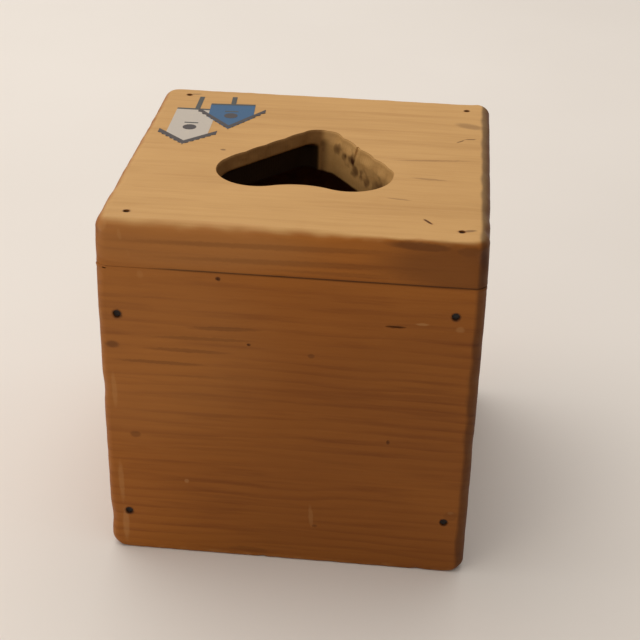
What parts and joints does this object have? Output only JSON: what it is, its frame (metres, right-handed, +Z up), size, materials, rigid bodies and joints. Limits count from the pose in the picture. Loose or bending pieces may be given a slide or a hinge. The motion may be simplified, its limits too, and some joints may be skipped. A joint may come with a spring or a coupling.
{
  "type": "shape sorter",
  "caption": "Posting box of nailed planed pine with a heart-shaped opening in its lid, a loose base board that it lifts off, and a heart block that passes through the opening.",
  "frame": {"origin": "middle of the footprint, on the table under the box", "axes": "+Z up, -Y towards the front board, +X to the right as seen from the front"},
  "size_m": [0.15, 0.148, 0.1542],
  "materials": {
    "lid_pine": "worn clear varnish",
    "wall_pine": "worn stained varnish",
    "bare_pine": "bare, planed",
    "nail_steel": "dull, rusty",
    "sticker_pale": "satin printed film",
    "sticker_blue": "satin printed film",
    "sticker_grey": "satin printed film"
  },
  "bodies": {
    "base": {"base_board": "bare_pine"},
    "box": {"lid": "lid_pine", "front_board": "wall_pine", "back_board": "wall_pine", "left_board": "wall_pine", "right_board": "wall_pine", "lid_nails": "nail_steel", "front_nails": "nail_steel", "back_nails": "nail_steel", "sticker_pale_birdhouse": "sticker_pale", "sticker_blue_birdhouse": "sticker_blue"},
    "heart_block": {"heart_block": "bare_pine"}
  },
  "joints": [
    {"name": "box_lift", "type": "slide", "parent": "base", "child": "box", "axis": [0, 0, 1], "range_m": [0, 0.08]},
    {"name": "heart_block_post", "type": "slide", "parent": "base", "child": "heart_block", "axis": [0, 0, 1], "range_m": [0, 0.142]}
  ]
}
